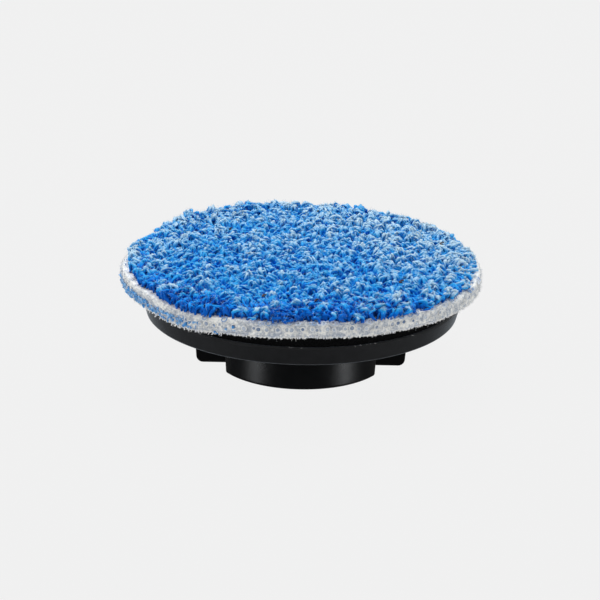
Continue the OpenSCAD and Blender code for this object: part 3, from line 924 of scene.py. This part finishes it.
def add_dust(count=14):
    """Specks of white lint on the ledge of the plate, round the foam."""
    around = FRONT + rng.normal(0, 0.9, count)
    side = edge_frame(around)[1]
    roots = polar(plate_high.x - rng.uniform(0.15, 0.5, count) * MM, around, plate_high.z + 0.03 * MM)
    directions = unit(side + rng.normal(0, 0.4, (count, 3)) * np.array([1, 1, 0.2]))
    lines, radii, plane = fibres(roots, directions, rng.uniform(0.1, 0.6, count) * MM,
                                 rng.uniform(0.02, 0.05, count) * MM, 0.3)
    piece = add_strands("plate_dust", lines, radii, 5, plane)
    finish_piece(piece, fibre_material, "plate", "cloth_white")


add_dust()
add_hook_disc()


# ---- Springs ---------------------------------------------------------------

def add_spring(name, node, body, coils=5, wire_r=0.2 * MM):
    """A coil spring from its seat in the hub to its button."""
    low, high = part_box(node)
    middle = (low + high) / 2
    coil_r = (high.z - low.z) / 2 - wire_r
    along = np.linspace(0, 1, coils * 24 + 1)
    closed_ends = 0.5 - 0.5 * np.cos(math.pi * np.clip(along * 1.15 - 0.075, 0, 1))
    x = low.x + wire_r + (high.x - low.x - 2 * wire_r) * (0.35 * closed_ends + 0.65 * along)
    angle = TURN * coils * along
    line = np.stack([x, middle.y + coil_r * np.cos(angle), middle.z + coil_r * np.sin(angle)], axis=1)[None]
    piece = add_strands(name, line, np.full((1, len(along)), wire_r), 8, np.array([[1.0, 0.0, 0.0]]))
    finish_piece(piece, spring_material, body, "spring_steel", node)
    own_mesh(piece)


for side in ("left", "right"):
    add_spring(f"{side}_coil", f"{side}_spring", f"{side}_release")


# ---- CAD pieces' own materials ---------------------------------------------

film_material = black_plastic("adhesive_film", tone=0.2, roughness=0.4)
plate_material = black_plastic("plate_charcoal", tone=0.0078, roughness=0.6, depth=0.03 * MM, specular=0.4,
                               edge=0.25 * MM, haze=0.5)
hub_material = black_plastic("hub_black", tone=0.0035, roughness=0.3, specular=0.45, edge=0.3 * MM)
button_material = black_plastic("button_black", tone=0.003, roughness=0.45, specular=0.2, edge=0.25 * MM)
screw_material = steel("screw_steel", tone=0.25, roughness=0.35)
latch_material = steel("latch_steel", tone=0.4, roughness=0.3)

for node_name, node_material in {
    "hook_adhesive": film_material,
    "foam_adhesive": film_material,
    # black foam, toned extra dark, partly as painted shade under the pad's overhang
    "cushion_foam": open_foam("cushion_foam", tone=0.0015),
    "backing_plate": plate_material,
    "hub_housing": hub_material,
    "hub_cover": black_plastic("cover_black", tone=0.008, roughness=0.5, edge=0.2 * MM),
    "drive_insert": steel("insert_steel", tone=0.45, roughness=0.35),
    "left_button": button_material,
    "right_button": button_material,
    "left_latch_plate": latch_material,
    "right_latch_plate": latch_material,
    "hub_screws": screw_material,
    "cover_screws": screw_material,
}.items():
    for entry in nodes[node_name].material_slots:
        entry.material = node_material


# ---- Floor, light and camera -----------------------------------------------

CENTRE = (cad_box[0] + cad_box[1]) / 2
BACKGROUND = 0.871              # the pale grey of the background, as light
FILL = 0.5                      # the light from all round
BACKDROP = 1.6                  # the brighter sheet behind the object that its gloss picks up
LIGHT_TONE = (0.94, 0.97, 1.0)
FLOOR_R = 3.0
FLOOR_TONE = 0.012


def add_floor():
    """A plain pale floor that barely takes a shadow, and can be seen through from below."""
    rim = polar(FLOOR_R, np.linspace(0, TURN, 64, endpoint=False), 0)
    floor = add_object("floor", rim, [list(range(len(rim)))])
    paint = Paint("floor", roughness=1.0, specular=0.0)
    paint.shader.inputs["Base Color"].default_value = (FLOOR_TONE, FLOOR_TONE, FLOOR_TONE, 1)
    paint.shader.inputs["Emission Color"].default_value = (1, 1, 1, 1)
    paint.shader.inputs["Emission Strength"].default_value = BACKGROUND - FLOOR_TONE
    mixed = paint.add("MixShader", ("Fac", paint.add("NewGeometry").outputs["Backfacing"]))
    paint.tree.links.new(mixed.inputs[1], paint.shader.outputs["BSDF"])
    paint.tree.links.new(mixed.inputs[2], paint.add("BsdfTransparent").outputs["BSDF"])
    paint.tree.links.new(paint.tree.nodes["Material Output"].inputs["Surface"], mixed.outputs["Shader"])
    floor.data.materials.append(paint.material)
    floor.visible_glossy = False
    floor.visible_shadow = False


def add_light(name, azimuth, elevation, distance, width, height, watts):
    """A softbox that faces the object's centre, from degrees round to its right and degrees up."""
    data = bpy.data.lights.new(name, "AREA")
    data.shape = "RECTANGLE"
    data.size = width
    data.size_y = height
    data.energy = watts
    data.color = LIGHT_TONE
    made = bpy.data.objects.new(name, data)
    turn, tilt = math.radians(azimuth), math.radians(elevation)
    back = Vector((math.sin(turn) * math.cos(tilt), -math.cos(turn) * math.cos(tilt), math.sin(tilt)))
    made.location = CENTRE + back * distance
    made.rotation_mode = "QUATERNION"
    made.rotation_quaternion = (-back).to_track_quat("-Z", "Y")
    made.visible_camera = False
    bpy.context.scene.collection.objects.link(made)


def add_world():
    """Pale grey for the eye, a softer fill for the light, and a bright backdrop for the gloss."""
    world = bpy.data.worlds.new("studio")
    world.use_nodes = True
    tree = world.node_tree
    add = tree.nodes.new
    link = tree.links.new
    path = add("ShaderNodeLightPath")
    sky = add("ShaderNodeSeparateXYZ")
    link(sky.inputs["Vector"], add("ShaderNodeTexCoord").outputs["Generated"])

    def fade(axis, start, end, top=1.0):
        """A number that rises from 0 to top between two places along an axis of the sky."""
        made = add("ShaderNodeMapRange")
        made.inputs["From Min"].default_value = start
        made.inputs["From Max"].default_value = end
        made.inputs["To Max"].default_value = top
        link(made.inputs["Value"], sky.outputs[axis])
        return made.outputs["Result"]

    def choose(ray, other, chosen):
        """One light for a kind of ray, and another for the rest."""
        made = add("ShaderNodeMixShader")
        link(made.inputs["Fac"], path.outputs[ray])
        link(made.inputs[1], other)
        link(made.inputs[2], chosen)
        return made.outputs["Shader"]

    seen = tree.nodes["Background"]
    seen.inputs["Color"].default_value = (1, 1, 1, 1)
    seen.inputs["Strength"].default_value = BACKGROUND
    fill = add("ShaderNodeBackground")
    fill.inputs["Strength"].default_value = FILL
    both = add("ShaderNodeMath")
    both.operation = "MULTIPLY"
    link(both.inputs[0], fade("Y", 0.1, 0.7, top=BACKDROP))
    link(both.inputs[1], fade("Z", -0.45, 0.1))
    backdrop = add("ShaderNodeBackground")
    link(backdrop.inputs["Strength"], both.outputs["Value"])
    for_gloss = choose("Is Glossy Ray", fill.outputs["Background"], backdrop.outputs["Background"])
    for_eye = choose("Is Camera Ray", for_gloss, seen.outputs["Background"])
    link(tree.nodes["World Output"].inputs["Surface"], for_eye)
    bpy.context.scene.world = world


def add_camera():
    """A long lens a little above the pad, tilted by about a degree."""
    elevation = math.radians(19.71)
    roll = math.radians(1.125)
    distance = 0.438
    aim = Vector((-0.41, 0.63, 14.31)) * MM
    data = bpy.data.cameras.new("camera")
    data.lens = 111.35          # in millimetres, as is the sensor
    data.sensor_width = 36
    data.clip_start = 10 * MM
    camera = bpy.data.objects.new("camera", data)
    back = Vector((0, -math.cos(elevation), math.sin(elevation)))
    turn = (-back).to_track_quat("-Z", "Y").to_matrix() @ Matrix.Rotation(roll, 3, "Z")
    camera.matrix_world = Matrix.Translation(aim + back * distance) @ turn.to_4x4()
    bpy.context.scene.collection.objects.link(camera)
    bpy.context.scene.camera = camera


add_floor()
add_world()
add_light("top_softbox", azimuth=170, elevation=68, distance=0.8, width=0.7, height=0.7, watts=6.9)
add_light("side_softbox", azimuth=-75, elevation=28, distance=0.8, width=0.6, height=0.6, watts=1.5)
add_light("left_softbox", azimuth=-60, elevation=-8, distance=0.6, width=0.16, height=0.5, watts=0.6)
add_light("right_softbox", azimuth=60, elevation=-8, distance=0.6, width=0.16, height=0.5, watts=0.74)
add_camera()
bpy.context.scene.view_settings.view_transform = "Standard"
